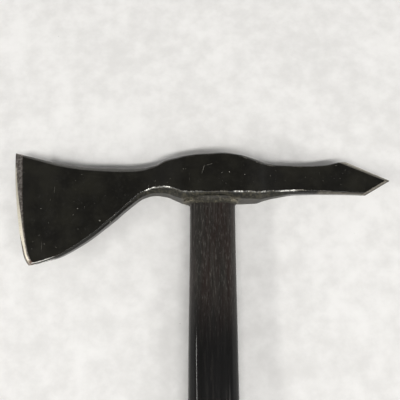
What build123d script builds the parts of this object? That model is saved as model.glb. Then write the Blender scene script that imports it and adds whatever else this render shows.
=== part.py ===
from build123d import *
from math import atan, degrees, sqrt
import os

# Fireman's belt axe, lying on its side as it lies on a table.
#
# Frame: the lower cheek of the eye rests on the plane z = 0. X runs along the head, from the
# blade (-X) to the pick (+X). Y runs along the haft, which goes down towards -Y. The origin is on
# the table, under the point where the haft's centre line crosses the middle of the eye.

os.makedirs("parts", exist_ok=True)

# ---------------------------------------------------------------- driving dimensions (mm)

EYE_THICKNESS = 28.0        # cheek to cheek, and the depth of the haft's butt swell
MID_Z = EYE_THICKNESS / 2   # the plane that halves the whole axe
UNDERSIDE_Y = -15.0         # flat shoulder under the eye, on both sides of the haft
CROWN_Y = 15.6              # highest point of the eye's top

# Head stations along X: (x, lowest y, highest y, thickness, lower and upper ridge radius). It is a
# rounded bar that flares down into the blade, swells round the eye and runs out into the pick.
# The first and last stations lie beyond the finished head, and the shoulder is cut flat.
HEAD_STATIONS = [
    (-142.0, -58.4, 20.9, 3.0, 0.9, 1.2),
    (-120.0, -57.4, 15.5, 4.8, 1.2, 2.0),
    (-103.0, -53.5, 11.6, 6.9, 1.7, 2.8),
    (-84.0, -43.1, 9.0, 8.9, 2.2, 3.2),
    (-66.0, -28.8, 8.5, 10.6, 2.6, 4.0),
    (-54.0, -18.1, 8.2, 11.8, 2.9, 3.9),
    (-46.0, -12.3, 8.1, 13.0, 3.2, 3.1),
    (-38.0, -10.3, 9.3, 16.0, 3.8, 2.3),
    (-31.0, -10.9, 11.9, 20.6, 4.4, 1.9),
    (-24.0, -13.5, 12.8, 25.4, 4.8, 1.7),
    (-18.0, -15.4, 13.7, 28.2, 4.8, 1.6),
    (-6.0, -15.4, 15.0, 28.6, 4.8, 1.6),
    (6.0, -15.4, CROWN_Y, 28.6, 4.8, 1.6),
    (18.0, -15.4, 14.4, 28.4, 4.8, 1.9),
    (29.0, -15.3, 12.0, 24.0, 4.8, 2.8),
    (36.0, -13.5, 10.4, 17.8, 4.2, 2.3),
    (44.0, -11.9, 9.6, 13.2, 3.2, 1.6),
    (52.0, -10.7, 9.2, 10.8, 2.7, 0.9),
    (62.0, -10.2, 9.1, 9.0, 2.3, 0.8),
    (76.0, -10.1, 10.0, 7.2, 1.9, 0.8),
    (90.0, -10.2, 12.8, 6.0, 1.5, 0.8),
    (106.0, -10.8, 13.8, 5.0, 1.2, 0.8),
    (124.0, -11.0, 14.0, 4.2, 0.9, 0.8),
]
HEAD_STEP = 5.0             # spacing of the sections that the forging is skinned over

# Cutting edge: a long shallow arc, then a tighter one where sharpening has rounded the heel.
TOE = (-135.4, 19.2)
EDGE_MIDDLE = (-132.0, -14.0)
EDGE_LOW = (-124.6, -48.2)
HEEL = (-120.2, -57.0)
HEEL_RADIUS = 21.0
EDGE_LAND = 0.5             # thickness left at the cutting edge
EDGE_BEVEL = 3.4            # width of the ground bevel, seen from a cheek
EDGE_BEVEL_DEPTH = 1.5      # how far each bevel drops below its cheek

# Pick: an arrow point whose two edges are ground from both cheeks.
PICK_UPPER_SHOULDER = (91.0, 12.9)
PICK_TIP = (120.6, -0.6)
PICK_LOWER_SHOULDER = (103.2, -10.7)
PICK_BEVEL = 1.8            # width of the ground strip, seen from a cheek
PICK_BEVEL_DEPTH = 1.5
PICK_LAND = 1.2             # thickness left on the point's edges

# Eye: a tapered rounded slot, wider at the top so that the wedged haft can't pull out.
EYE_LENGTH_BOTTOM = 30.4
EYE_LENGTH_TOP = 31.8
EYE_WIDTH_BOTTOM = 20.0
EYE_WIDTH_TOP = 20.8
EYE_CORNER = 9.0

# Pitch bead round the haft: it fills a countersink in the shoulder and thins out down the haft.
SEAL_TOP_Y = -13.2
SEAL_FOOT_Y = -17.8
SEAL_TOP_WIDTH = 3.0
SEAL_FOOT_WIDTH = 0.8

# Haft stations along Y: (y, width along X, depth along Z, corner radius), eye to butt.
HAFT_STATIONS = [
    (UNDERSIDE_Y, EYE_LENGTH_BOTTOM, EYE_WIDTH_BOTTOM, EYE_CORNER),
    (-45.0, 30.5, 20.6, 9.3),
    (-80.0, 31.0, 21.2, 9.6),
    (-140.0, 31.5, 21.9, 10.1),
    (-210.0, 31.3, 22.5, 10.4),
    (-280.0, 31.0, 23.2, 10.6),
    (-325.0, 32.2, 24.6, 11.2),
    (-352.0, 35.2, 26.6, 12.0),
    (-370.0, 38.4, EYE_THICKNESS, 12.8),
]
HAFT_STEP = 9.0             # spacing of the sections that the haft is skinned over
HAFT_TOP_Y = 14.8           # end grain, just inside the crown of the eye
BUTT_Y = -384.4             # 400 mm over all, from the crown of the eye
BUTT_ROUNDING = 6.0

# Lanyard hole through the butt swell, from side to side, with a flat seat at each mouth.
LANYARD_Y = -361.0
LANYARD_RADIUS = 4.0
LANYARD_LENGTH = 26.0
LANYARD_SEAT_RADIUS = 7.5

# Wedges in the top of the haft: one of timber along the eye, two of steel across it.
TIMBER_WEDGE_LENGTH = 27.0
TIMBER_WEDGE_THICKNESS = 4.0
TIMBER_WEDGE_TIP = 1.2
TIMBER_WEDGE_DEPTH = 24.0
STEEL_WEDGE_WIDTH = 13.0
STEEL_WEDGE_THICKNESS = 2.4
STEEL_WEDGE_TIP = 0.6
STEEL_WEDGE_DEPTH = 15.0
STEEL_WEDGE_OFFSET = 8.0

CLEAR = 40.0                # how far a cutting solid reaches past what it cuts


# ---------------------------------------------------------------- helpers

def slope_at(before, here, after, k):
    """Slope of value k at a station, flat at a crest and never overshooting."""
    left = (here[k] - before[k]) / (here[0] - before[0])
    right = (after[k] - here[k]) / (after[0] - here[0])
    return 0.0 if left * right <= 0 else 2 * left * right / (left + right)


def station_at(stations, position):
    """The station at any position, on smooth curves through the stations given."""
    last = len(stations) - 2
    i = max(n for n in range(last + 1) if n == 0 or stations[n][0] <= position)
    a, b = stations[i], stations[i + 1]
    span = b[0] - a[0]
    t = (position - a[0]) / span
    values = [position]
    for k in range(1, len(a)):
        straight = (b[k] - a[k]) / span
        start = slope_at(stations[i - 1], a, b, k) if i > 0 else straight
        end = slope_at(a, b, stations[i + 2], k) if i < last else straight
        values.append(
            (2 * t**3 - 3 * t**2 + 1) * a[k]
            + (3 * t**2 - 2 * t**3) * b[k]
            + span * ((t**3 - 2 * t**2 + t) * start + (t**3 - t**2) * end)
        )
    return values


def even_stations(stations, step):
    """Stations at an even spacing of about step, from the first to the last."""
    first, last = stations[0][0], stations[-1][0]
    count = round((last - first) / step)
    return [station_at(stations, first + (last - first) * n / count) for n in range(count + 1)]


def across_head(x, low, high, thickness, low_radius, high_radius):
    """Section of the forging across X, with its own radius on the lower and the upper ridges."""
    def point(up, across):
        return Vector(x, up, MID_Z + across)

    half = thickness / 2
    low_flat, high_flat = half - low_radius, half - high_radius
    low_turn, high_turn = low_radius * (1 - sqrt(0.5)), high_radius * (1 - sqrt(0.5))
    return make_face([
        Line(point(low, -low_flat), point(low, low_flat)),
        ThreePointArc(
            point(low, low_flat),
            point(low + low_turn, half - low_turn),
            point(low + low_radius, half),
        ),
        Line(point(low + low_radius, half), point(high - high_radius, half)),
        ThreePointArc(
            point(high - high_radius, half),
            point(high - high_turn, half - high_turn),
            point(high, high_flat),
        ),
        Line(point(high, high_flat), point(high, -high_flat)),
        ThreePointArc(
            point(high, -high_flat),
            point(high - high_turn, high_turn - half),
            point(high - high_radius, -half),
        ),
        Line(point(high - high_radius, -half), point(low + low_radius, -half)),
        ThreePointArc(
            point(low + low_radius, -half),
            point(low + low_turn, low_turn - half),
            point(low, -low_flat),
        ),
    ])


def across_haft(y, width, depth, radius):
    """A rounded rectangle square to Y, for the haft and the eye."""
    plane = Plane(origin=(0, y, MID_Z), x_dir=(1, 0, 0), z_dir=(0, 1, 0))
    return plane * RectangleRounded(width, depth, radius)


def taper(x, y_low, y_high, low_size, high_size):
    """A four-sided taper along Y between two rectangles, each (size in X, size in Z)."""
    ends = []
    for y, size in ((y_low, low_size), (y_high, high_size)):
        plane = Plane(origin=(x, y, MID_Z), x_dir=(1, 0, 0), z_dir=(0, 1, 0))
        ends.append(plane * Rectangle(*size))
    return loft(ends, ruled=True)


# ---------------------------------------------------------------- head

def head_outline():
    """The head seen from a cheek: cutting edge, arrow point and flat shoulder."""
    above = CROWN_Y + 12
    below = HEEL[1] - 6
    border = Polyline(
        HEEL,
        (HEEL[0], below),
        (-60.0, below),
        (-24.0, UNDERSIDE_Y),
        (34.0, UNDERSIDE_Y),
        (PICK_LOWER_SHOULDER[0] - 12, PICK_LOWER_SHOULDER[1] - 4),
        PICK_LOWER_SHOULDER,
        PICK_TIP,
        PICK_UPPER_SHOULDER,
        (PICK_UPPER_SHOULDER[0] - 9, above),
        (TOE[0], above),
        TOE,
    )
    edge = [ThreePointArc(TOE, EDGE_MIDDLE, EDGE_LOW), RadiusArc(EDGE_LOW, HEEL, -HEEL_RADIUS)]
    return make_face(edge + [border])


def edge_waste(side):
    """The steel ground off one cheek along the cutting edge; side is +1 or -1."""
    toe_end = (TOE[0] - 0.4, TOE[1] + 9)
    heel_end = (HEEL[0] + 7.0, HEEL[1] - 8)
    inner_x = -60.0
    ground = make_face([
        Line(toe_end, TOE),
        ThreePointArc(TOE, EDGE_MIDDLE, EDGE_LOW),
        RadiusArc(EDGE_LOW, HEEL, -HEEL_RADIUS),
        Line(HEEL, heel_end),
        Polyline(heel_end, (inner_x, heel_end[1]), (inner_x, toe_end[1]), toe_end),
    ])
    slant = EDGE_BEVEL / EDGE_BEVEL_DEPTH
    rise = 2 * EDGE_BEVEL_DEPTH
    angle = degrees(atan(slant))
    kept = extrude(ground, rise, taper=angle)
    block = Pos(TOE[0], -20, 0) * Box(36, 100, rise, align=(Align.CENTER, Align.CENTER, Align.MIN))
    waste = Pos(0, 0, EDGE_LAND / 2) * (block - kept)
    if side < 0:
        waste = mirror(waste, about=Plane.XY)
    return Pos(0, 0, MID_Z) * waste


def pick_waste(start, end, side):
    """The steel ground off one cheek along one edge of the arrow point."""
    along = Vector(end[0] - start[0], end[1] - start[1], 0).normalized()
    inward = Vector(-along.Y, along.X, 0)
    normal = Vector(0, 0, side * PICK_BEVEL) - inward * PICK_BEVEL_DEPTH
    edge_point = (start[0], start[1], MID_Z + side * PICK_LAND / 2)
    plane = Plane(origin=edge_point, x_dir=along, z_dir=normal)
    return plane * Box(3 * CLEAR, CLEAR, CLEAR, align=(Align.CENTER, Align.CENTER, Align.MIN))


def eye_space(y_low, y_high):
    """What the haft fills inside the eye, between two heights."""
    def section(y):
        t = (y - UNDERSIDE_Y) / (CROWN_Y - UNDERSIDE_Y)
        length = EYE_LENGTH_BOTTOM + t * (EYE_LENGTH_TOP - EYE_LENGTH_BOTTOM)
        width = EYE_WIDTH_BOTTOM + t * (EYE_WIDTH_TOP - EYE_WIDTH_BOTTOM)
        return across_haft(y, length, width, EYE_CORNER)
    return loft([section(y_low), section(y_high)], ruled=True)


def seal_space():
    """The countersink and the bead below it, as a solid plug."""
    ends = []
    for y, width in ((SEAL_TOP_Y, SEAL_TOP_WIDTH), (SEAL_FOOT_Y, SEAL_FOOT_WIDTH)):
        length = EYE_LENGTH_BOTTOM + 2 * width
        ends.append(across_haft(y, length, EYE_WIDTH_BOTTOM + 2 * width, EYE_CORNER + width))
    return loft(ends, ruled=True)


def make_head():
    forging = loft([across_head(*station) for station in even_stations(HEAD_STATIONS, HEAD_STEP)])
    head = forging & extrude(head_outline(), EYE_THICKNESS)
    for side in (1, -1):
        head -= edge_waste(side)
        head -= pick_waste(PICK_LOWER_SHOULDER, PICK_TIP, side)
        head -= pick_waste(PICK_TIP, PICK_UPPER_SHOULDER, side)
    head -= eye_space(UNDERSIDE_Y - 4, CROWN_Y + 4)
    return head - seal_space()


# ---------------------------------------------------------------- haft, wedges and seal

def timber_wedge_space():
    return taper(
        0,
        HAFT_TOP_Y - TIMBER_WEDGE_DEPTH,
        HAFT_TOP_Y,
        (TIMBER_WEDGE_LENGTH, TIMBER_WEDGE_TIP),
        (TIMBER_WEDGE_LENGTH, TIMBER_WEDGE_THICKNESS),
    )


def steel_wedge_spaces():
    return [
        taper(
            x,
            HAFT_TOP_Y - STEEL_WEDGE_DEPTH,
            HAFT_TOP_Y,
            (STEEL_WEDGE_TIP, STEEL_WEDGE_WIDTH),
            (STEEL_WEDGE_THICKNESS, STEEL_WEDGE_WIDTH),
        )
        for x in (-STEEL_WEDGE_OFFSET, STEEL_WEDGE_OFFSET)
    ]


def haft_body():
    """The haft from end grain to butt, before any hole is cut."""
    stations = even_stations(HAFT_STATIONS[::-1], HAFT_STEP)
    shaft = loft([across_haft(*station) for station in stations])
    swell_y = HAFT_STATIONS[-1][0]
    butt = extrude(across_haft(*HAFT_STATIONS[-1]), swell_y - BUTT_Y, dir=(0, -1, 0))
    butt = fillet(butt.faces().sort_by(Axis.Y)[0].edges(), BUTT_ROUNDING)
    return shaft + butt + eye_space(UNDERSIDE_Y, HAFT_TOP_Y)


def make_haft():
    haft = haft_body() - Pos(0, LANYARD_Y, MID_Z) * Cylinder(LANYARD_RADIUS, 2 * EYE_THICKNESS)
    for side in (1, -1):
        seat = Cylinder(LANYARD_SEAT_RADIUS, EYE_THICKNESS)
        haft -= Pos(0, LANYARD_Y, MID_Z + side * (LANYARD_LENGTH + EYE_THICKNESS) / 2) * seat
    for space in [timber_wedge_space()] + steel_wedge_spaces():
        haft -= space
    return haft


def make_timber_wedge():
    wedge = timber_wedge_space()
    for space in steel_wedge_spaces():
        wedge -= space
    return wedge


def make_eye_seal():
    return seal_space() - haft_body()


# ---------------------------------------------------------------- the pieces

left_wedge, right_wedge = steel_wedge_spaces()
pieces = {
    "axe_head": make_head(),
    "haft": make_haft(),
    "timber_wedge": make_timber_wedge(),
    "steel_wedge_blade_side": left_wedge,
    "steel_wedge_pick_side": right_wedge,
    "eye_seal": make_eye_seal(),
}

for name, shape in pieces.items():
    export_step(shape, f"parts/{name}.step")
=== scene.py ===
"""Looks of a firefighter's belt axe: forged head, black oval haft, wedges and pitch bead."""
import math

import bmesh
import bpy
import numpy as np
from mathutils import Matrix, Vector, noise


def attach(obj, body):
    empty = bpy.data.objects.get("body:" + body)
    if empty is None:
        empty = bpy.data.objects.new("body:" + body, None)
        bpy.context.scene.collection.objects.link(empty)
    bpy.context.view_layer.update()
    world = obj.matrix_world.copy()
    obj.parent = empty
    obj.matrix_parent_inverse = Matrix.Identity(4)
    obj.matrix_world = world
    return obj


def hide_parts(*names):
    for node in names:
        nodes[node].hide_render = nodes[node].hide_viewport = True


MM = 0.001

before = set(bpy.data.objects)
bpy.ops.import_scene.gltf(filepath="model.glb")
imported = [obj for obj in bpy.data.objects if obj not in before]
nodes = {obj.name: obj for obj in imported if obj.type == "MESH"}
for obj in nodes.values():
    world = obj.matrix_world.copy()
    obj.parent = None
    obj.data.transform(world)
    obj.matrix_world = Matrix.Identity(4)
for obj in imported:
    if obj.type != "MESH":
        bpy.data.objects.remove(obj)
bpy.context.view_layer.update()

# ---------------------------------------------------------------- camera
# It looks down at the head and the upper haft, tilted a little towards the crown of the eye.

CAMERA_TILT = math.radians(12)
CAMERA_DISTANCE = 270.3 * MM
CAMERA_TARGET = Vector((-8.3, -13.75, 14.0)) * MM
SENSOR = 36.0
FOCAL_LENGTH = 36.1

camera_data = bpy.data.cameras.new("camera")
camera_data.sensor_width = SENSOR
camera_data.lens = FOCAL_LENGTH
camera_data.clip_start = 0.01
camera = bpy.data.objects.new("camera", camera_data)
bpy.context.scene.collection.objects.link(camera)
back = Vector((0, -math.sin(CAMERA_TILT), math.cos(CAMERA_TILT)))
camera.location = CAMERA_TARGET + CAMERA_DISTANCE * back
camera.rotation_euler = (CAMERA_TILT, 0, 0)
bpy.context.scene.camera = camera

# ---------------------------------------------------------------- the forging's driving sizes (mm)

MID_Z = 14.0
UNDERSIDE_Y = -15.0
CHEEK = 14.0                # half the eye's thickness
SHOULDER_LEFT = -24.0       # the flat under the eye lies between these
SHOULDER_RIGHT = 34.0

# (x, lowest y, highest y, thickness, lower and upper ridge radius), as in the CAD head
HEAD_STATIONS = np.array([
    (-142.0, -58.4, 20.9, 3.0, 0.9, 1.2),
    (-120.0, -57.4, 15.5, 4.8, 1.2, 2.0),
    (-103.0, -53.5, 11.6, 6.9, 1.7, 2.8),
    (-84.0, -43.1, 9.0, 8.9, 2.2, 3.2),
    (-66.0, -28.8, 8.5, 10.6, 2.6, 4.0),
    (-54.0, -18.1, 8.2, 11.8, 2.9, 3.9),
    (-46.0, -12.3, 8.1, 13.0, 3.2, 3.1),
    (-38.0, -10.3, 9.3, 16.0, 3.8, 2.3),
    (-31.0, -10.9, 11.9, 20.6, 4.4, 1.9),
    (-24.0, -13.5, 12.8, 25.4, 4.8, 1.7),
    (-18.0, -15.4, 13.7, 28.2, 4.8, 1.6),
    (-6.0, -15.4, 15.0, 28.6, 4.8, 1.6),
    (6.0, -15.4, 15.6, 28.6, 4.8, 1.6),
    (18.0, -15.4, 14.4, 28.4, 4.8, 1.9),
    (29.0, -15.3, 12.0, 24.0, 4.8, 2.8),
    (36.0, -13.5, 10.4, 17.8, 4.2, 2.3),
    (44.0, -11.9, 9.6, 13.2, 3.2, 1.6),
    (52.0, -10.7, 9.2, 10.8, 2.7, 0.9),
    (62.0, -10.2, 9.1, 9.0, 2.3, 0.8),
    (76.0, -10.1, 10.0, 7.2, 1.9, 0.8),
    (90.0, -10.2, 12.8, 6.0, 1.5, 0.8),
    (106.0, -10.8, 13.8, 5.0, 1.2, 0.8),
    (124.0, -11.0, 14.0, 4.2, 0.9, 0.8),
])

TOE = (-135.4, 19.2)
EDGE_LOW = (-124.6, -48.2)
HEEL = (-120.2, -57.0)
EDGE_RADIUS = 320.0
HEEL_RADIUS = 21.0
EDGE_LAND = 0.5
TOE_BEVEL = 5.7             # width of the ground edge at the toe and further down
HEEL_BEVEL = 3.9

PICK_TIP = (120.6, -0.6)
PICK_UPPER_SHOULDER = (91.0, 12.9)
PICK_LOWER_SHOULDER = (103.2, -10.7)
PICK_UPPER_BEVEL = 3.3      # widths of the ground strips, seen from a cheek
PICK_TIP_BEVEL = 1.9        # the upper strip narrows to this at the point
PICK_LOWER_BEVEL = 1.7
PICK_LAND = 1.2

# ((x, reach), strength) of the painted highlights that stand for glints along the lower ridge
PAINTED_GLINT_STRETCHES = (((-41.0, 4.5), 1.0), ((-32.0, 7.0), 0.75), ((-14.0, 9.0), 0.30), ((16.5, 4.0), 1.0),
                 ((25.0, 7.0), 0.30), ((34.0, 4.5), 0.55), ((49.5, 9.0), 1.0))
RIDGE_FLAT = 0.70           # share of a plain chamfer in the ridges, and what rounding takes off it
RIDGE_ROUNDING = 0.30
# (x, reach) of the stretches where filing has left the ridges round
ROUNDED_RIDGES = ((-42.0, 3.5), (-32.0, 5.0), (-16.0, 6.0), (16.5, 4.0), (26.0, 6.0), (49.0, 8.0))

EYE_BOTTOM = (30.4, 20.0)   # length along X, width along Z
EYE_TOP = (31.8, 20.8)
EYE_TOP_Y = 15.6
EYE_CORNER = 9.0

# (y, width along X, depth along Z, corner radius), as in the CAD haft
HAFT_STATIONS = np.array([
    (-370.0, 38.4, 28.0, 12.8),
    (-352.0, 35.2, 26.6, 12.0),
    (-325.0, 32.2, 24.6, 11.2),
    (-280.0, 31.0, 23.2, 10.6),
    (-210.0, 31.3, 22.5, 10.4),
    (-140.0, 31.5, 21.9, 10.1),
    (-80.0, 31.0, 21.2, 9.6),
    (-45.0, 30.5, 20.6, 9.3),
    (-15.0, 30.4, 20.0, 9.0),
])
SWELL_Y = -370.0            # the section stays the same from here to the butt
BUTT_Y = -384.4
BUTT_ROUNDING = 6.0
HAFT_TOP_Y = 14.8
LANYARD_Y = -361.0
LANYARD_RADIUS = 4.0
LANYARD_LENGTH = 26.0
LANYARD_SEAT_RADIUS = 7.5
BORE_CUT = 60.0             # lengths of the drills that cut the hole and its seats
SEAT_CUT = 28.0

COUNTERSINK_TOP = (-13.2, 3.0)      # (y, width outside the haft) of the hollow that the pitch fills
COUNTERSINK_FOOT = (-17.8, 0.8)


# ---------------------------------------------------------------- numbers and meshes

def smooth_columns(stations, x):
    """Every column of the stations at the positions x, on curves that never overshoot."""
    knots = stations[:, 0]
    step = np.diff(knots)
    i = np.clip(np.searchsorted(knots, x, side="right") - 1, 0, len(knots) - 2)
    t = (x - knots[i]) / step[i]
    columns = []
    for k in range(1, stations.shape[1]):
        value = stations[:, k]
        rise = np.diff(value) / step
        slope = np.empty(len(knots))
        slope[0], slope[-1] = rise[0], rise[-1]
        left, right = rise[:-1], rise[1:]
        same = left * right > 0
        total = np.where(same, left + right, 1.0)
        slope[1:-1] = np.where(same, 2 * left * right / total, 0.0)
        columns.append(
            (2 * t**3 - 3 * t**2 + 1) * value[i]
            + (3 * t**2 - 2 * t**3) * value[i + 1]
            + step[i] * ((t**3 - 2 * t**2 + t) * slope[i] + (t**3 - t**2) * slope[i + 1])
        )
    return columns


def fractal(points, size, octaves=3, seed=0):
    """Smooth noise from -1 to 1 at each point (mm), with features of about the given size."""
    offset = Vector((seed * 17.3, seed * 5.1, seed * 9.7))
    scale = 1 / size
    return np.array([
        noise.fractal(Vector(p) * scale + offset, 1.0, 2.0, octaves) for p in points
    ])


def loop_mesh(name, rows, pole=0, ring=False):
    """A mesh from rows of points (mm), each a loop round the piece.

    Each end is closed by a strip of quads between its two mirrored halves, from the point at index
    pole. A ring's last row joins its first instead.
    """
    count, around = rows.shape[:2]
    faces = []
    for i in range(count if ring else count - 1):
        a, b = i * around, (i + 1) % count * around
        for j in range(around):
            k = (j + 1) % around
            faces.append((a + j, a + k, b + k, b + j))
    if not ring:
        for start in (0, (count - 1) * around):
            for k in range(around // 2):
                corners = [(pole + k) % around, (pole + k + 1) % around,
                           (pole - k - 1) % around, (pole - k) % around]
                faces.append([start + c for c in dict.fromkeys(corners)])
    mesh = bpy.data.meshes.new(name)
    mesh.from_pydata([tuple(p * MM) for p in rows.reshape(-1, 3)], [], faces)
    bm = bmesh.new()
    bm.from_mesh(mesh)
    bmesh.ops.recalc_face_normals(bm, faces=bm.faces)
    bm.to_mesh(mesh)
    bm.free()
    return mesh


def oval_places(corner, along_x, along_z):
    """Places round a rounded rectangle, as (flat x, flat z, round x, round z), from its +X side."""
    quarter = [(1, n / along_z, 1, 0) for n in range(along_z)]
    for n in range(corner):
        a = math.pi / 2 * n / corner
        quarter.append((1, 1, math.cos(a), math.sin(a)))
    quarter += [(1 - n / along_x, 1, 0, 1) for n in range(along_x)]
    half = quarter + [(0, 1, 0, 1)] + [(-a, b, -c, d) for a, b, c, d in reversed(quarter)]
    return np.array(half + [(a, -b, c, -d) for a, b, c, d in reversed(half[1:-1])])


def oval_section(places, y, width, depth, radius):
    """Points (mm) of a rounded rectangle across the haft's axis at height y."""
    flat_x, flat_z, round_x, round_z = places.T
    return np.column_stack((
        flat_x * (width / 2 - radius) + round_x * radius,
        np.full(len(places), float(y)),
        MID_Z + flat_z * (depth / 2 - radius) + round_z * radius,
    ))


def eye_section(places, y):
    """Points (mm) of the tapered eye's outline at height y."""
    t = (y - UNDERSIDE_Y) / (EYE_TOP_Y - UNDERSIDE_Y)
    length, width = (low + t * (high - low) for low, high in zip(EYE_BOTTOM, EYE_TOP))
    return oval_section(places, y, length, width, EYE_CORNER)


def add_object(name, mesh):
    """Puts a mesh into the scene under a name."""
    obj = bpy.data.objects.new(name, mesh)
    bpy.context.scene.collection.objects.link(obj)
    return obj


def set_attribute(mesh, name, values):
    """Stores one number for each vertex, for the materials to read."""
    attribute = mesh.attributes.new(name, "FLOAT", "POINT")
    attribute.data.foreach_set("value", np.asarray(values, np.float32))


def smooth_shade(mesh, angle):
    """Smooth shading, with edges sharper than an angle (degrees) left crisp."""
    mesh.polygons.foreach_set("use_smooth", [True] * len(mesh.polygons))
    mesh.set_sharp_from_angle(angle=math.radians(angle))


def cut(obj, cutter):
    """Takes the cutter out of obj for good."""
    modifier = obj.modifiers.new("cut", "BOOLEAN")
    modifier.operation = "DIFFERENCE"
    modifier.solver = "EXACT"
    modifier.object = cutter
    depsgraph = bpy.context.evaluated_depsgraph_get()
    result = bpy.data.meshes.new_from_object(obj.evaluated_get(depsgraph))
    obj.modifiers.clear()
    obj.data = result
    bpy.data.objects.remove(cutter)


# ---------------------------------------------------------------- the head's surface

def circle_centre(start, end, radius):
    """Centre of the arc that bulges to -X between two points of the cutting edge."""
    (x0, y0), (x1, y1) = start, end
    chord = math.hypot(x1 - x0, y1 - y0)
    rise = math.sqrt(radius**2 - chord**2 / 4)
    return (
        (x0 + x1) / 2 - (y1 - y0) / chord * rise,
        (y0 + y1) / 2 + (x1 - x0) / chord * rise,
    )


def edge_x(y):
    """X of the cutting edge at height y: the long arc, then the tighter one at the heel."""
    cx, cy = circle_centre(TOE, EDGE_LOW, EDGE_RADIUS)
    long_arc = cx - np.sqrt(EDGE_RADIUS**2 - (y - cy) ** 2)
    hx, hy = circle_centre(EDGE_LOW, HEEL, HEEL_RADIUS)
    low = np.clip(y, hy - 0.85 * HEEL_RADIUS, None)
    short_arc = hx - np.sqrt(np.maximum(HEEL_RADIUS**2 - (low - hy) ** 2, 0.0))
    return np.where(y < EDGE_LOW[1], short_arc, long_arc)


def bevel_reach(y):
    """How far the ground edge reaches along X at height y."""
    rise = (edge_x(y + 0.2) - edge_x(y - 0.2)) / 0.4
    narrowing = np.clip((8 - y) / 50, 0, 1)
    narrowing = narrowing * narrowing * (3 - 2 * narrowing)
    return (TOE_BEVEL + narrowing * (HEEL_BEVEL - TOE_BEVEL)) * np.sqrt(1 + rise**2)


def arrow_x(y, share):
    """X at height y of the pick's point edges, or of a line some share of the way up their bevels."""
    upper = math.atan2(PICK_UPPER_SHOULDER[1] - PICK_TIP[1], PICK_TIP[0] - PICK_UPPER_SHOULDER[0])
    lower = math.atan2(PICK_TIP[1] - PICK_LOWER_SHOULDER[1], PICK_TIP[0] - PICK_LOWER_SHOULDER[0])
    along = np.clip((y - PICK_TIP[1]) / (PICK_UPPER_SHOULDER[1] - PICK_TIP[1]), 0, 1)
    strip = PICK_TIP_BEVEL + along * (PICK_UPPER_BEVEL - PICK_TIP_BEVEL)
    return np.minimum(
        PICK_TIP[0] - share * strip / math.sin(upper) - (y - PICK_TIP[1]) / math.tan(upper),
        PICK_TIP[0] - share * PICK_LOWER_BEVEL / math.sin(lower) + (y - PICK_TIP[1]) / math.tan(lower),
    )


CHEEK_STEPS = 44
SIDE_STEPS = 8
BLADE_STEPS = 44
BODY_STEPS = 130
PICK_STEPS = 22
BLADE_INNER_X = -62.0       # the sections lean with the cutting edge up to here
PICK_OUTER_X = 80.0         # and with the point from here on
# how far the lines along the blade and the point lie up their bevels, and beyond them
EDGE_SHARES = (0, 0.06, 0.2, 0.4, 0.6, 0.8, 0.93, 0.98, 1.02, 1.07, 1.15, 1.3, 1.55, 1.9, 2.3)
POINT_SHARES = (0, 0.1, 0.3, 0.55, 0.8, 0.93, 0.98, 1.02, 1.07, 1.2, 1.5, 2.0, 2.6, 3.4, 4.4)
CORNER_PLACES = (-0.07, 0.0, 0.07, 0.2, 0.4, 0.6, 0.8, 0.93, 1.0, 1.07)


def section_places():
    """Points of a section: (place up the cheek, place across, side y, side z, place in the corner)."""
    places = []
    for n in range(1, CHEEK_STEPS):
        places.append((n / CHEEK_STEPS, 1, 0, 1, 0))
    places += [(1, 1, 1, 1, t) for t in CORNER_PLACES]
    places += [(1, 1 - 2 * n / SIDE_STEPS, 1, 0, 1) for n in range(1, SIDE_STEPS)]
    places += [(1, -1, 1, -1, t) for t in reversed(CORNER_PLACES)]
    for n in range(1, CHEEK_STEPS):
        places.append((1 - n / CHEEK_STEPS, -1, 0, -1, 0))
    places += [(0, -1, -1, -1, t) for t in CORNER_PLACES]
    places += [(0, 2 * n / SIDE_STEPS - 1, -1, 0, 1) for n in range(1, SIDE_STEPS)]
    places += [(0, 1, -1, 1, t) for t in reversed(CORNER_PLACES)]
    return np.array(places)


PLACES = section_places()
TOP_POLE = CHEEK_STEPS - 1 + len(CORNER_PLACES) + SIDE_STEPS // 2 - 1


def facet_share(x):
    """How far a ridge is ground flat: 0 for a round one, 1 for a plain chamfer."""
    rounder = sum(np.exp(-((x - place) / reach) ** 2) for place, reach in ROUNDED_RIDGES)
    return RIDGE_FLAT - RIDGE_ROUNDING * np.minimum(rounder, 1.0)


def limits(x):
    """Lowest and highest y of the cheeks at x, where the ridges begin."""
    low, high, _thickness, low_radius, high_radius = smooth_columns(HEAD_STATIONS, x)
    return low + low_radius, high - high_radius


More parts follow.
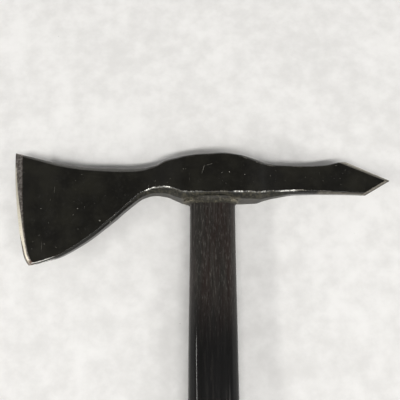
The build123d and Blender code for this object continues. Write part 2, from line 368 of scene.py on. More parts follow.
def head_surface(x, ground):
    """Points (y, z) of one section line per place, and the directions (y, z) that they face.

    ground runs from 0 on a ground edge to 1 on the cheek.
    """
    low, high, thickness, low_radius, high_radius = smooth_columns(HEAD_STATIONS, x)
    land = np.where(x < 0, EDGE_LAND, PICK_LAND)
    thickness = land + (np.minimum(thickness, 2 * CHEEK + 0.6) - land) * np.minimum(ground, 1.0)
    low_radius = np.minimum(low_radius, 0.42 * thickness)
    high_radius = np.minimum(high_radius, 0.42 * thickness)
    bottom, top = low + low_radius, high - high_radius
    up, across, side_y, side_z, t = PLACES.T
    radius = low_radius + up * (high_radius - low_radius)
    facet = facet_share(x)
    inside = np.clip(t, 0, 1)
    dy = (1 - facet) * np.sin(inside * math.pi / 2) + facet * inside + np.minimum(t, 0)
    dz = (1 - facet) * np.cos(inside * math.pi / 2) + facet * (1 - inside) - np.maximum(t - 1, 0)
    dy, dz = side_y * dy, side_z * np.where(side_y == 0, 1, dz)
    spine = (bottom + top) / 2
    towards_tip = np.clip((x - 50) / 40, 0, 1)
    spine += towards_tip * (-0.06 * (PICK_TIP[0] - x) - spine)
    lower_part = bottom + 2 * up * (spine - bottom)
    upper_part = spine + (2 * up - 1) * (top - spine)
    y = np.where(up < 0.5, lower_part, upper_part) + dy * radius
    z = across * (thickness / 2 - radius) + dz * radius
    under_eye = (x > SHOULDER_LEFT) & (x < SHOULDER_RIGHT)
    y = np.where(under_eye, np.maximum(y, UNDERSIDE_Y), y)
    facing = np.column_stack((side_y * inside, side_z * (1 - inside)))
    return y, np.clip(z, -CHEEK, CHEEK), facing / np.linalg.norm(facing, axis=1)[:, None]


def solve_column(start, boundary, ground):
    """The x at which each section line meets a boundary given as x of y."""
    x = np.full(len(PLACES), float(start))
    for _ in range(40):
        y = head_surface(x, np.full(len(PLACES), ground))[0]
        x = 0.5 * x + 0.5 * boundary(y)
    return x


def head_columns():
    """Rows of x and of ground, from the cutting edge to the point of the pick."""
    columns = []
    for share in EDGE_SHARES:
        reach = solve_column(-130, lambda y, s=share: edge_x(y) + s * bevel_reach(y), min(share, 1))
        columns.append((reach, min(share, 1)))
    last = columns[-1][0]
    for n in range(1, BLADE_STEPS + 1):
        columns.append((last + (BLADE_INNER_X - last) * n / BLADE_STEPS, 1))
    for n in range(1, BODY_STEPS + 1):
        x = BLADE_INNER_X + (PICK_OUTER_X - BLADE_INNER_X) * n / BODY_STEPS
        columns.append((np.full(len(PLACES), x), 1))
    point = [
        (solve_column(110, lambda y, s=s: arrow_x(y, s), min(s, 1)), min(s, 1))
        for s in POINT_SHARES
    ]
    inner = point[-1][0]
    for n in range(1, PICK_STEPS):
        columns.append((PICK_OUTER_X + (inner - PICK_OUTER_X) * n / PICK_STEPS, 1))
    return columns + point[::-1]


def forge_dents(points):
    """Depth (mm) of the hammer's marks that the paint still shows."""
    return 0.14 * (1 - fractal(points, 11.0, 2, 3)) + 0.05 * (1 - fractal(points, 4.0, 2, 8))


def make_head():
    """The forging, with the eye and the countersink cut through it."""
    rows = []
    for x, share in head_columns():
        y, z, facing = head_surface(x, np.full(len(PLACES), share))
        points = np.column_stack((x, y, z + MID_Z))
        depth = forge_dents(points) * np.clip((share - 0.9) * 10, 0, 1)
        points[:, 1:] -= facing * depth[:, None]
        rows.append(points)
    head = add_object("axe_head_forging", loop_mesh("axe_head_forging", np.array(rows), TOP_POLE))
    hole = [eye_section(EYE_PLACES, y) for y in (-30.0, 30.0)]
    cut(head, add_object("eye_hole", loop_mesh("eye_hole", np.array(hole))))
    hollow = [
        oval_section(EYE_PLACES, y, EYE_BOTTOM[0] + 2 * width, EYE_BOTTOM[1] + 2 * width, EYE_CORNER + width)
        for y, width in (COUNTERSINK_TOP, COUNTERSINK_FOOT)
    ]
    cut(head, add_object("countersink", loop_mesh("countersink", np.array(hollow))))
    mark_head(head.data)
    return head


def mark_head(mesh):
    """Stores how far (mm) each point lies inside the ground edges and inside the ridges."""
    points = np.empty(len(mesh.vertices) * 3, np.float32)
    mesh.vertices.foreach_get("co", points)
    x, y, _z = points.reshape(-1, 3).T.astype(float) / MM
    rise = (edge_x(y + 0.2) - edge_x(y - 0.2)) / 0.4
    rim = (x - edge_x(y)) / np.sqrt(1 + rise**2)
    edge = (x - edge_x(y) - bevel_reach(y)) / np.sqrt(1 + rise**2)
    point = (arrow_x(y, 1.0) - x) * 0.45
    bottom, top = limits(x)
    set_attribute(mesh, "rim", np.clip(rim, 0, 30))
    set_attribute(mesh, "edge", np.clip(edge, -6, 30))
    set_attribute(mesh, "point", np.clip(point, -6, 30))
    set_attribute(mesh, "ridge", np.minimum(y - bottom, top - y))


# ---------------------------------------------------------------- haft and pitch

EYE_PLACES = oval_places(10, 6, 4)
HAFT_PLACES = oval_places(14, 16, 8)
PITCH_PLACES = oval_places(14, 26, 10)


def haft_rows():
    """Sections from the butt to the end grain in the eye."""
    rounding = [BUTT_ROUNDING * (1 - math.cos(math.pi / 2 * n / 8)) for n in range(9)]
    places = [BUTT_Y + inset for inset in rounding]
    places += list(np.arange(places[-1] + 1.2, UNDERSIDE_Y, 1.6))
    rows = []
    for y in places:
        width, depth, radius = (c[0] for c in smooth_columns(HAFT_STATIONS, np.array([max(y, SWELL_Y)])))
        left = max(0.0, 1 - (y - BUTT_Y) / BUTT_ROUNDING)
        inset = BUTT_ROUNDING * (1 - math.sqrt(1 - left**2))
        row = oval_section(HAFT_PLACES, y, width - 2 * inset, depth - 2 * inset, radius - inset)
        rows.append(row)
    rows += [eye_section(HAFT_PLACES, y) for y in np.linspace(UNDERSIDE_Y, HAFT_TOP_Y, 8)]
    return np.array(rows)


def shave(rows):
    """Long shallow flats left by the spokeshave, and the swell of the grain."""
    points = rows.reshape(-1, 3)
    middle = points * (0, 1, 0) + (0, 0, MID_Z)
    outward = points - middle
    outward /= np.linalg.norm(outward, axis=1)[:, None]
    long = points * (1, 0.05, 1)
    depth = 0.16 * (1 - fractal(long, 4.5, 2, 5)) + 0.05 * (1 - fractal(long, 1.7, 2, 11))
    depth *= np.clip((UNDERSIDE_Y - 1 - points[:, 1]) / 6, 0, 1)
    return (points - outward * depth[:, None]).reshape(rows.shape)


def make_haft(wedges):
    """The haft, with the lanyard hole, its two seats and the kerfs that the wedges fill."""
    haft = add_object("black_haft", loop_mesh("black_haft", shave(haft_rows())))
    for side in (-1, 0, 1):
        radius = LANYARD_SEAT_RADIUS if side else LANYARD_RADIUS
        length = SEAT_CUT if side else BORE_CUT
        bm = bmesh.new()
        bmesh.ops.create_cone(bm, cap_ends=True, segments=72, radius1=radius * MM, radius2=radius * MM,
                              depth=length * MM)
        mesh = bpy.data.meshes.new("bore")
        bm.to_mesh(mesh)
        bm.free()
        bore = add_object("bore", mesh)
        offset = side * (LANYARD_LENGTH + length) / 2
        bore.location = Vector((0, LANYARD_Y, MID_Z + offset)) * MM
        cut(haft, bore)
    for wedge in wedges:
        space = wedge.copy()
        space.data = wedge.data.copy()
        bpy.context.scene.collection.objects.link(space)
        cut(haft, space)
    return haft


def make_pitch():
    """The bead of pitch that fills the countersink and has run a little over the shoulder."""
    profile = [
        (-13.4, 0.0, 0), (-13.4, 2.7, 0), (-14.9, 2.1, 0), (-15.0, 2.1, 1), (-15.2, 2.2, 1),
        (-15.5, 1.9, 0.85), (-15.9, 1.5, 0.6), (-16.4, 1.0, 0.4), (-16.9, 0.6, 0.25),
        (-17.3, 0.25, 0.1), (-17.5, 0.0, 0),
    ]
    rows = []
    for y, width, spread in profile:
        row = oval_section(PITCH_PLACES, y, EYE_BOTTOM[0], EYE_BOTTOM[1], EYE_CORNER)
        outward = np.column_stack((PITCH_PLACES[:, 2], np.zeros(len(row)), PITCH_PLACES[:, 3]))
        run = 0.1 + 0.5 * fractal(row, 5.0, 2, 21) + 3.4 * np.clip(-row[:, 0] / 15 - 0.5, 0, 1)
        out = width + spread * np.clip(run, 0.1, 4.0) + 0.12 * fractal(row, 1.2, 2, 4) * (spread > 0)
        row += outward * out[:, None]
        row[:, 1] += 0.6 * spread * fractal(row, 3.0, 2, 9) * (y < -15.4)
        row[:, 1] -= 1.5 * spread * np.clip(-row[:, 0] / 15 - 0.7, 0, 0.6) * (y < -15.1)
        over = np.clip(np.abs(row[:, 2] - MID_Z) - 9.2, 0, 4.6)
        row[:, 1] += (4.8 - np.sqrt(4.8**2 - over**2)) * min(1.0, spread * 1.1)
        rows.append(row)
    return add_object("pitch_bead", loop_mesh("pitch_bead", np.array(rows), ring=True))


# ---------------------------------------------------------------- shader building blocks

class Shader:
    """A material under construction: one Principled surface and short calls for its nodes."""

    def __init__(self, name):
        self.material = bpy.data.materials.new(name)
        self.material.use_nodes = True
        self.tree = self.material.node_tree
        self.tree.nodes.clear()
        output = self.tree.nodes.new("ShaderNodeOutputMaterial")
        self.surface = self.tree.nodes.new("ShaderNodeBsdfPrincipled")
        self.tree.links.new(self.surface.outputs["BSDF"], output.inputs["Surface"])
        self.place = self.tree.nodes.new("ShaderNodeTexCoord").outputs["Object"]

    def node(self, kind, settings=None, inputs=None):
        """Adds a node, with its settings and the values or links of its inputs."""
        node = self.tree.nodes.new(kind)
        for key, value in (settings or {}).items():
            setattr(node, key, value)
        for key, value in (inputs or {}).items():
            self.feed(node.inputs[key], value)
        return node

    def feed(self, socket, value):
        if isinstance(value, bpy.types.NodeSocket):
            self.tree.links.new(value, socket)
        else:
            socket.default_value = value

    def set(self, **inputs):
        """Values or links for the surface's own sockets, with _ for a space."""
        for key, value in inputs.items():
            self.feed(self.surface.inputs[key.replace("_", " ")], value)

    def math(self, operation, a, b=0.0, clamp=False):
        node = self.node("ShaderNodeMath", {"operation": operation, "use_clamp": clamp})
        self.feed(node.inputs[0], a)
        self.feed(node.inputs[1], b)
        return node.outputs[0]

    def chain(self, operation, values):
        """Two-input maths carried along a list of values."""
        result = values[0]
        for value in values[1:]:
            result = self.math(operation, result, value)
        return result

    def times(self, *values):
        return self.chain("MULTIPLY", values)

    def plus(self, *values):
        return self.chain("ADD", values)

    def most(self, *values):
        return self.chain("MAXIMUM", values)

    def stretched(self, x=1.0, y=1.0, z=1.0, turn=(0, 0, 0)):
        """The object's place in metres, scaled on each axis."""
        node = self.node("ShaderNodeMapping", inputs={"Vector": self.place})
        node.inputs["Scale"].default_value = (x, y, z)
        node.inputs["Rotation"].default_value = turn
        return node.outputs[0]

    def noise(self, size, detail=3.0, roughness=0.5, vector=None):
        """Noise from 0 to 1 with features of about size millimetres."""
        return self.node("ShaderNodeTexNoise", inputs={
            "Vector": vector or self.place,
            "Scale": 1000.0 / size,
            "Detail": detail,
            "Roughness": roughness,
        }).outputs["Fac"]

    def ramp(self, value, low, high, start=0.0, end=1.0):
        """Value between low and high, spread over start to end and held beyond."""
        node = self.node("ShaderNodeMapRange", {
            "interpolation_type": "SMOOTHSTEP",
            "clamp": True,
        })
        for key, item in zip(("Value", "From Min", "From Max", "To Min", "To Max"),
                             (value, low, high, start, end)):
            self.feed(node.inputs[key], item)
        return node.outputs[0]

    def mix(self, share, a, b):
        """Colour a turning into colour b as share goes from 0 to 1."""
        node = self.node("ShaderNodeMix", {"data_type": "RGBA"})
        self.feed(node.inputs[0], share)
        self.feed(node.inputs[6], a if not isinstance(a, tuple) else (*a, 1.0))
        self.feed(node.inputs[7], b if not isinstance(b, tuple) else (*b, 1.0))
        return node.outputs[2]

    def blend(self, share, a, b):
        """Number a turning into number b as share goes from 0 to 1."""
        node = self.node("ShaderNodeMix", {"data_type": "FLOAT"})
        self.feed(node.inputs[0], share)
        self.feed(node.inputs[2], a)
        self.feed(node.inputs[3], b)
        return node.outputs[0]

    def axes(self):
        """The object's x, y and z in millimetres."""
        node = self.node("ShaderNodeSeparateXYZ", inputs={"Vector": self.place})
        return [self.times(node.outputs[k], 1000.0) for k in range(3)]

    def dots(self, spacing, radius, share):
        """1 inside small round marks: one to a cell of the given spacing (mm), in a share of cells."""
        node = self.node("ShaderNodeTexVoronoi", inputs={"Vector": self.place, "Scale": 1000.0 / spacing})
        near = self.ramp(node.outputs["Distance"], 0.6 * radius / spacing, radius / spacing, 1.0, 0.0)
        chosen = self.node("ShaderNodeSeparateColor", inputs={"Color": node.outputs["Color"]})
        return self.times(near, self.ramp(chosen.outputs[0], share, share * 1.02, 1.0, 0.0))

    def near(self, value, middle, reach):
        """1 where a value is close to middle, fading to 0 at reach."""
        away = self.math("ABSOLUTE", self.math("SUBTRACT", value, middle))
        return self.ramp(away, 0.4 * reach, reach, 1.0, 0.0)

    def stroke(self, middle, direction, length, width):
        """1 on a straight mark (mm) on the cheek that faces up; direction is in degrees from +X."""
        x, y, z = self.axes()
        c, s = math.cos(math.radians(direction)), math.sin(math.radians(direction))
        x, y = self.math("SUBTRACT", x, middle[0]), self.math("SUBTRACT", y, middle[1])
        along = self.plus(self.times(x, c), self.times(y, s))
        across = self.math("SUBTRACT", self.times(y, c), self.times(x, s))
        mark = self.times(self.near(along, 0.0, length / 2), self.near(across, 0.0, width))
        return self.times(mark, self.ramp(z, MID_Z, MID_Z + 1.0))

    def attribute(self, name):
        return self.node("ShaderNodeAttribute", {"attribute_name": name}).outputs["Fac"]

    def bump(self, *layers):
        """Relief from (height 0 to 1, depth in mm) layers."""
        normal = None
        for height, depth in layers:
            node = self.node("ShaderNodeBump", inputs={"Height": height, "Distance": depth * MM})
            node.inputs["Strength"].default_value = 1.0
            if normal is not None:
                self.feed(node.inputs["Normal"], normal)
            normal = node.outputs[0]
        self.feed(self.surface.inputs["Normal"], normal)


# ---------------------------------------------------------------- materials

class HeadShader(Shader):
    """The head's material under construction, with the places and noises that its layers share."""

    def __init__(self, name):
        super().__init__(name)
        self.rim = self.attribute("rim")
        self.edge = self.attribute("edge")
        self.point = self.attribute("point")
        self.ridge = self.attribute("ridge")
        self.x, self.y, _z = self.axes()
        self.ragged = self.noise(0.8, 4.0, 0.6)
        self.fine = self.noise(0.3, 3.0, 0.6)
        self.cloud = self.noise(15.0, 4.0, 0.55)
        self.mottle = self.noise(2.0, 4.0, 0.65)
        self.brushed = self.noise(0.25, 3.0, 0.6, self.stretched(1.0, 0.3, 1.0))

    def roughened(self, value, amount):
        """A distance (mm) made ragged by up to half the amount either way."""
        return self.plus(value, self.times(self.math("SUBTRACT", self.ragged, 0.5), amount))


def under_the_eye(s):
    """1 on the facet under the eye and its necks."""
    share = s.times(s.ramp(s.ridge, -0.5, -0.1, 1.0, 0.0), s.ramp(s.y, -8.0, -6.0, 1.0, 0.0))
    return s.times(share, s.ramp(s.math("ABSOLUTE", s.x), 42.0, 60.0, 1.0, 0.0))


def black_paint(s, under):
    """Mottled black, lighter and olive on the facet under the eye, and grey along the blade's back ridge."""
    paint = s.mix(s.ramp(s.cloud, 0.35, 0.7), (0.0052, 0.0047, 0.0034), (0.0125, 0.0117, 0.0083))
    paint = s.mix(s.ramp(s.mottle, 0.50, 0.80, 0.0, 0.55), paint, (0.024, 0.0226, 0.0180))
    under_eye_olive = s.mix(s.ramp(s.mottle, 0.42, 0.62), (0.008, 0.0078, 0.0050), (0.056, 0.0505, 0.0320))
    paint = s.mix(s.times(under, s.ramp(s.cloud, 0.3, 0.6, 0.35, 0.85)), paint, under_eye_olive)
    back = s.times(s.ramp(s.ridge, -0.4, 0.0, 1.0, 0.0), s.ramp(s.y, 2.0, 3.0))
    back = s.times(back, s.ramp(s.x, -48.0, -40.0, 1.0, 0.0))
    return s.mix(s.times(back, s.ramp(s.mottle, 0.3, 0.6, 0.45, 0.9)), paint, (0.050, 0.047, 0.040))


def pitch_smear(s):
    """Where pitch is smeared over the paint beside the haft, and the colour it has dried to."""
    reach = s.times(s.noise(3.4, 4.0, 0.6), 9.0)
    smear = s.ramp(s.plus(s.x, reach), -17.5, -14.5, 0.0, 1.0)
    smear = s.times(smear, s.ramp(s.math("SUBTRACT", s.x, reach), 13.0, 15.5, 1.0, 0.0))
    low = s.ramp(s.plus(s.y, s.times(s.ragged, 1.2)), -14.2, -13.6, 1.0, 0.0)
    smear = s.times(s.times(smear, low), s.ramp(s.mottle, 0.30, 0.62, 0.25, 0.95))
    beside = s.ramp(s.math("ABSOLUTE", s.plus(s.x, 1.0)), 10.0, 15.0, 0.15, 1.0)
    dry_pitch = s.mix(s.ramp(s.fine, 0.40, 0.66), (0.045, 0.041, 0.028), (0.20, 0.180, 0.130))
    return s.times(smear, beside), dry_pitch


def steel_with_painted_highlight(s):
    """Grey steel with a painted highlight, a cream band that leaves the rim low down, and rust at the heel.
    """
    grey = s.mix(s.ramp(s.mottle, 0.40, 0.62), (0.125, 0.108, 0.096), (0.34, 0.312, 0.290))
    grey = s.mix(s.ramp(s.edge, -0.9, 0.3), grey, (0.060, 0.053, 0.046))
    # cream is a painted highlight: a band along the blade's ground edge, and on the pick the ground strips
    cream = s.mix(s.ramp(s.brushed, 0.3, 0.7), (0.74, 0.68, 0.555), (1.0, 0.94, 0.80))
    place = s.roughened(s.rim, 0.9)
    inner = s.ramp(s.y, 6.0, -34.0, 1.1, 2.7)
    outer = s.ramp(s.y, -30.0, -50.0, -0.4, 1.2)
    painted_highlight_band = s.ramp(place, s.math("SUBTRACT", inner, 0.35), s.plus(inner, 0.35), 1.0, 0.0)
    painted_highlight_band = s.times(painted_highlight_band, s.ramp(place, s.math("SUBTRACT", outer, 0.2), s.plus(outer, 0.2)))
    painted_highlight_band = s.times(painted_highlight_band, s.ramp(s.plus(s.y, s.times(s.ragged, 6.0)), 15.5, 8.0))
    # the pick's ground strips take part of the cream: painted reflection
    lower_painted_reflection = s.ramp(s.point, -1.3, -0.8, 0.02, 0.28)
    strip = s.blend(s.ramp(s.y, -1.2, 0.0), lower_painted_reflection, s.ramp(s.point, -2.2, -1.3, 0.55, 0.15))
    steel = s.mix(s.blend(s.ramp(s.x, 0.0, 10.0), painted_highlight_band, strip), grey, cream)
    rust = s.plus(s.ramp(s.y, -51.0, -58.0), s.times(s.ragged, 0.4))
    rust = s.times(s.ramp(rust, 0.40, 1.0, 0.0, 0.92), s.ramp(s.rim, 1.1, 2.0, 0.35, 1.0))
    return s.mix(rust, steel, (0.070, 0.030, 0.020))


def bare_share(s):
    """1 where the paint is gone: the ground edges, the point, and the ridges that are rubbed."""
    ground = s.ramp(s.roughened(s.edge, 1.5), -0.10, 0.25, 1.0, 0.0)
    tip = s.ramp(s.roughened(s.point, 0.5), -0.05, 0.15, 1.0, 0.0)
    tip = s.times(tip, s.ramp(s.mottle, 0.35, 0.65, 0.55, 0.85))
    away = s.math("ABSOLUTE", s.ridge)
    rubbed = s.times(s.ramp(s.noise(9.0, 5.0, 0.6), 0.50, 0.56), s.ramp(s.ragged, 0.38, 0.5))
    worn = s.times(s.ramp(away, 0.10, 0.55, 1.0, 0.0), rubbed)
    worn = s.times(worn, s.ramp(s.x, 58.0, 78.0, 0.85, 0.15))
    thin_line = s.times(s.ramp(away, 0.08, 0.40, 1.0, 0.0), s.ramp(s.ragged, 0.25, 0.55, 0.10, 0.9))
    thin_line = s.times(thin_line, s.ramp(s.x, -104.0, -92.0, 1.0, 0.22))
    worn = s.blend(s.ramp(s.x, -70.0, -52.0, 1.0, 0.0), worn, thin_line)
    side = s.times(s.ramp(s.ridge, -0.6, -0.2, 1.0, 0.0), s.ramp(s.y, -6.0, -4.0, 1.0, 0.0))
    side = s.times(side, s.ramp(s.x, 69.0, 72.0, 0.0, 0.42))
    worn = s.most(worn, s.times(side, s.ramp(s.mottle, 0.32, 0.55, 0.5, 1.0)))
    return s.most(ground, tip, worn)


def light_marks(s):
    """Knocks, most of them low on the blade's neck, fine scratches, and a hooked one on the eye."""
    marks = s.most(s.dots(5.0, 0.36, 0.22), s.dots(2.0, 0.18, 0.20))
    marks = s.times(marks, s.ramp(s.noise(24.0, 2.0, 0.5), 0.40, 0.58))
    knocked = s.times(s.ramp(s.x, -84.0, -70.0), s.ramp(s.x, -56.0, -46.0, 1.0, 0.0))
    knocked = s.times(knocked, s.ramp(s.y, -8.0, -16.0))
    knocks = s.most(s.dots(3.4, 0.42, 0.30), s.dots(1.7, 0.18, 0.22))
    marks = s.most(marks, s.times(knocks, knocked))
    scratch = s.ramp(s.noise(0.5, 2.0, 0.5, s.stretched(1.0, 0.03, 1.0, (0, 0, 0.7))), 0.725, 0.75)
    scratch = s.times(scratch, s.ramp(s.noise(18.0, 2.0, 0.5), 0.5, 0.62))
    hook = s.most(s.stroke((-6.2, 3.9), 73.0, 7.5, 0.36), s.stroke((-2.6, 7.0), 16.0, 6.0, 0.32))
    hook = s.times(hook, s.ramp(s.ragged, 0.40, 0.60, 0.04, 0.30))
    return s.most(s.math("MAXIMUM", marks, s.times(scratch, 0.35), clamp=True), hook)


def painted_ridge_glints(s):
    """Painted highlights: near-white glints on stretches of the lower ridge and two lines along the heel."""
    glint_stretch = s.most(*(s.times(s.near(s.x, *stretch), share) for stretch, share in PAINTED_GLINT_STRETCHES))
    line = s.times(s.near(s.ridge, -0.35, 0.60), s.ramp(s.y, -4.0, -6.0))
    gaps = s.ramp(s.noise(3.0, 2.0, 0.5), 0.42, 0.52, 0.25, 1.0)
    ridge_glint = s.times(line, glint_stretch, s.times(s.ramp(s.ragged, 0.42, 0.52), gaps))
    # two painted highlight lines along the heel's ridge
    heel = s.most(s.near(s.ridge, -0.15, 0.40), s.near(s.ridge, -1.35, 0.32))
    heel = s.times(heel, s.ramp(s.x, -108.0, -101.0, 1.0, 0.0))
    heel = s.times(heel, s.times(s.ramp(s.y, -40.0, -44.0), s.ramp(s.x, -119.0, -116.5)))
    heel = s.times(heel, s.ramp(s.ragged, 0.34, 0.54, 0.1, 0.85))
    return s.most(ridge_glint, heel)


def head_material():
    """Thick black gloss paint on a forging, worn to steel on its ridges and ground edges."""
    s = HeadShader("black_gloss_on_forging")
    under = under_the_eye(s)
    smear, dry_pitch = pitch_smear(s)
    bare = bare_share(s)
    light = light_marks(s)
    paint = s.mix(smear, black_paint(s, under), dry_pitch)
    colour = s.mix(light, s.mix(bare, paint, steel_with_painted_highlight(s)), (0.34, 0.33, 0.29))
    # near-white paint on the lower ridge and the heel: painted highlights in place of glints
    colour = s.mix(painted_ridge_glints(s), colour, (0.86, 0.85, 0.80))
    s.set(Base_Color=colour, Metallic=s.times(bare, s.blend(light, 1.0, 0.3)))
    gloss = s.ramp(s.noise(5.0, 4.0, 0.6), 0.3, 0.75, 0.14, 0.28)
    gloss = s.blend(s.most(smear, s.times(under, 0.8)), gloss, 0.5)
    s.set(Specular_IOR_Level=s.blend(under, 0.5, 0.3))
    s.set(Roughness=s.blend(bare, gloss, s.ramp(s.fine, 0.3, 0.7, 0.28, 0.46)))
    s.bump(
        (s.noise(7.0, 2.0, 0.5), 0.12),
        (s.noise(1.3, 3.0, 0.55), 0.022),
        (s.times(s.brushed, bare), 0.02),
        (s.times(s.ramp(s.mottle, 0.35, 0.65), smear), 0.15),
        (light, -0.03),
    )
    return s.material


def haft_material():
    """Ash stained black and oiled, with open grain that runs down the haft and bare end grain."""
    s = Shader("black_stained_ash")
    y = s.axes()[1]
    hair = s.noise(0.36, 4.0, 0.7, s.stretched(1.0, 0.07, 1.0))
    fleck = s.noise(0.60, 4.0, 0.65, s.stretched(1.0, 0.13, 1.0))
    middle = s.noise(1.4, 4.0, 0.6, s.stretched(1.0, 0.06, 1.0))
    broad = s.noise(6.0, 4.0, 0.55, s.stretched(1.0, 0.12, 1.0))
    stain = s.mix(s.ramp(broad, 0.36, 0.62), (0.0230, 0.0160, 0.0142), (0.0215, 0.0200, 0.0180))
    stain = s.mix(s.ramp(middle, 0.42, 0.70, 0.0, 0.6), stain, (0.048, 0.043, 0.038))
    stain = s.mix(s.ramp(fleck, 0.54, 0.68, 0.0, 0.75), stain, (0.090, 0.084, 0.076))
    pores = s.ramp(hair, 0.56, 0.66)
    stain = s.mix(s.times(pores, 0.7), stain, (0.004, 0.0032, 0.0028))
    # painted shade: the haft turns nearly black from y = -58 mm to -112 mm and stays so to the butt
    painted_shade = s.ramp(y, -112.0, -58.0, 1.0, 0.0)
    painted_shade = s.times(painted_shade, s.ramp(middle, 0.5, 0.7, 0.94, 0.78))
    stain = s.mix(painted_shade, stain, (0.0026, 0.0026, 0.0028))
    knocks = s.dots(6.0, 0.36, 0.10)
    stain = s.mix(knocks, stain, (0.46, 0.44, 0.40))
    rings = s.node("ShaderNodeTexWave", {"wave_type": "BANDS", "bands_direction": "X"}, {
        "Vector": s.place, "Scale": 160.0, "Distortion": 2.5, "Detail": 2.0, "Detail Scale": 1.2,
    }).outputs["Fac"]
    grain = s.mix(rings, (0.14, 0.10, 0.062), (0.30, 0.225, 0.14))
    ends = s.ramp(y, 14.0, 14.4)
    s.set(Base_Color=s.mix(s.times(ends, 0.8), stain, grain))
    s.set(Roughness=s.ramp(fleck, 0.3, 0.7, 0.36, 0.54), Specular_IOR_Level=0.05)
    s.set(Coat_Weight=0.50, Coat_Roughness=0.09, Coat_IOR=1.35)
    s.bump((broad, 0.10), (middle, 0.06), (fleck, 0.05), (hair, 0.04))
    return s.material


def pitch_material():
    """Old pitch: cream and tan where it is dry, dark olive where paint has run over it, and the same dark at
    its foot as painted shadow.
    """
    s = Shader("old_pitch")
    x, y, z = s.axes()
    lumps = s.noise(2.0, 4.0, 0.65)
    fine = s.noise(0.5, 3.0, 0.6)
    beside = s.ramp(s.math("ABSOLUTE", s.plus(x, 1.0)), 10.0, 15.0)
    dry = s.mix(s.ramp(fine, 0.38, 0.62), (0.060, 0.055, 0.036), (0.25, 0.225, 0.165))
    dull = s.mix(s.ramp(fine, 0.50, 0.66), (0.036, 0.033, 0.023), (0.19, 0.175, 0.13))
    dry = s.mix(beside, dull, dry)
    painted = s.ramp(lumps, 0.42, 0.58, 0.80, 0.05)
    front = s.ramp(s.math("ABSOLUTE", s.math("SUBTRACT", z, MID_Z)), 9.9, 10.9, 0.0, 0.95)
    painted = s.most(painted, s.times(front, s.math("SUBTRACT", 1.0, beside)))
    # painted shadow: the bead's foot against the haft is painted dark
    painted_foot_shadow = s.ramp(s.plus(y, s.times(lumps, 1.4)), -16.1, -15.2, 0.9, 0.0)
    flecks = s.ramp(s.noise(2.2, 5.0, 0.75), 0.50, 0.66)
    over = s.mix(flecks, (0.017, 0.0150, 0.0100), (0.092, 0.083, 0.057))
    s.set(Base_Color=s.mix(s.most(painted, painted_foot_shadow), dry, over))
    s.set(Roughness=s.ramp(lumps, 0.3, 0.7, 0.42, 0.65), Specular_IOR_Level=0.30)
    s.bump((s.noise(1.6, 3.0, 0.6), 0.22), (s.noise(0.5, 2.0, 0.6), 0.06))
    return s.material


def wedge_wood_material():
    """Dry beech wedge, cut off flush, its end grain grey with handling."""
    s = Shader("wedge_beech")
    along = s.noise(0.35, 3.0, 0.6, s.stretched(1.0, 0.05, 1.0))
    rays = s.noise(0.6, 3.0, 0.6, s.stretched(0.25, 1.0, 1.0))
    base = s.mix(s.ramp(rays, 0.35, 0.65), (0.20, 0.13, 0.075), (0.36, 0.26, 0.16))
    s.set(Base_Color=s.mix(s.ramp(along, 0.5, 0.75, 0.0, 0.6), base, (0.09, 0.07, 0.05)))
    s.set(Roughness=s.ramp(rays, 0.3, 0.7, 0.6, 0.8))
    s.bump((rays, 0.06), (along, 0.05))
    return s.material


def wedge_steel_material():
    """Mild steel wedge, hammered over and lightly rusted."""
    s = Shader("wedge_mild_steel")
    rust = s.ramp(s.noise(1.8, 4.0, 0.65), 0.45, 0.62)
    dull = s.noise(0.4, 3.0, 0.6)
    steel = s.mix(s.ramp(dull, 0.3, 0.7), (0.30, 0.29, 0.27), (0.44, 0.43, 0.40))
    s.set(Base_Color=s.mix(s.times(rust, 0.8), steel, (0.13, 0.060, 0.030)))
    s.set(Metallic=s.math("SUBTRACT", 1.0, s.times(rust, 0.7)))
    s.set(Roughness=s.blend(rust, 0.42, 0.75))
    s.bump((s.noise(2.0, 2.0, 0.5), 0.08), (dull, 0.02))
    return s.material


def floor_material():
    """Soft white paper, faintly clouded, glowing further out with painted light."""
    s = Shader("paper")
    cloud = s.noise(13.0, 4.0, 0.6)
    wide = s.noise(70.0, 2.0, 0.5)
    tone = s.plus(s.times(cloud, 0.7), s.times(wide, 0.5))
    paper = s.mix(s.ramp(tone, 0.40, 0.80), (0.760, 0.752, 0.740), (0.885, 0.878, 0.867))
    specks = s.most(s.dots(34.0, 0.55, 0.5), s.dots(11.0, 0.22, 0.25))
    x, y, _z = s.axes()
    away = s.math("SQRT", s.plus(s.times(x, x), s.times(y, y)))
    s.set(Base_Color=s.mix(specks, paper, (0.10, 0.09, 0.08)), Roughness=0.85)
    # the paper glows more from half a metre out: painted light that fades the far floor into the pale
    # horizon
    s.set(Emission_Color=(1.0, 0.995, 0.985, 1), Emission_Strength=s.ramp(away, 500.0, 2600.0, 0.0, 0.8))
    s.bump((s.noise(1.2, 4.0, 0.6), 0.05), (s.noise(9.0, 3.0, 0.5), 0.12))
    return s.material


# ---------------------------------------------------------------- pieces

def finish_piece(obj, material, replaced):
    """Gives a piece its material and slot, and shows it instead of its CAD nodes."""
    obj.data.materials.clear()
    obj.data.materials.append(material)
    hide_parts(*replaced)
    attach(obj, "root")


wedges = [nodes["timber_wedge"], nodes["steel_wedge_blade_side"], nodes["steel_wedge_pick_side"]]

head = make_head()
smooth_shade(head.data, 50)
finish_piece(head, head_material(), ["axe_head"])

haft = make_haft(wedges)
smooth_shade(haft.data, 40)
finish_piece(haft, haft_material(), ["haft"])

pitch = make_pitch()
smooth_shade(pitch.data, 60)
finish_piece(pitch, pitch_material(), ["eye_seal"])

steel = wedge_steel_material()
for node, material in zip(wedges, (wedge_wood_material(), steel, steel)):
    node.data.materials.clear()
    node.data.materials.append(material)

# ---------------------------------------------------------------- stage

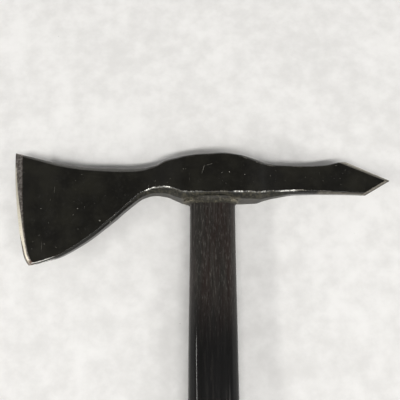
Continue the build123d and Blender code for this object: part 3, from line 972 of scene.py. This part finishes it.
FLOOR_REACH = 6.0           # metres from the middle to each side
FLOOR_GAP = 0.2 * MM        # so that the cheek and the floor don't share a plane

corners = [(FLOOR_REACH * x, FLOOR_REACH * y, 0) for x, y in ((-1, -1), (1, -1), (1, 1), (-1, 1))]
floor_mesh = bpy.data.meshes.new("floor")
floor_mesh.from_pydata(corners, [], [(0, 1, 2, 3)])
floor = add_object("floor", floor_mesh)
floor.location.z = -FLOOR_GAP
floor_mesh.materials.append(floor_material())


def make_world():
    """A pale horizon under a dim ceiling, so that the flat black cheeks stay black."""
    world = bpy.data.worlds.new("studio")
    bpy.context.scene.world = world
    world.use_nodes = True
    tree = world.node_tree
    place = tree.nodes.new("ShaderNodeTexCoord").outputs["Generated"]
    axes = tree.nodes.new("ShaderNodeSeparateXYZ")
    tree.links.new(place, axes.inputs[0])
    ramp = tree.nodes.new("ShaderNodeValToRGB")
    ramp.color_ramp.interpolation = "EASE"
    stops = [(0.0, 1.0), (0.16, 0.95), (0.36, 0.32), (0.75, 0.20), (0.93, 0.13), (1.0, 0.12)]
    ramp.color_ramp.elements[0].position = stops[0][0]
    ramp.color_ramp.elements[1].position = stops[-1][0]
    for position, _level in stops[1:-1]:
        ramp.color_ramp.elements.new(position)
    for element, (_position, level) in zip(ramp.color_ramp.elements, stops):
        element.color = (level, level * 0.995, level * 0.985, 1)
    tree.links.new(axes.outputs["Z"], ramp.inputs[0])
    tree.links.new(ramp.outputs[0], tree.nodes["Background"].inputs["Color"])
    tree.nodes["Background"].inputs["Strength"].default_value = 1.0


def add_area(name, location, target, size, radiance, colour):
    """A rectangular light that faces its target and that the camera doesn't see."""
    data = bpy.data.lights.new(name, "AREA")
    data.shape = "RECTANGLE"
    data.size, data.size_y = size
    data.energy = radiance * math.pi * size[0] * size[1]
    data.color = colour
    light = bpy.data.objects.new(name, data)
    bpy.context.scene.collection.objects.link(light)
    light.location = location
    direction = Vector(target) - Vector(location)
    light.rotation_euler = direction.to_track_quat("-Z", "Y").to_euler()
    light.visible_camera = False


make_world()
add_area("ceiling_tube", (0.30, -1.60, 3.40), (0, 0, 0), (3.2, 0.30), 31.0, (1.0, 0.99, 0.97))
add_area("right_window", (2.3, -1.56, 2.0), (0, 0, 0), (1.3, 1.0), 5.0, (1.0, 0.99, 0.97))
add_area("left_window", (-2.2, -1.04, 1.56), (0, -0.1, 0), (1.32, 0.16), 34.0, (1.0, 0.99, 0.96))

bpy.context.scene.view_settings.view_transform = "Standard"
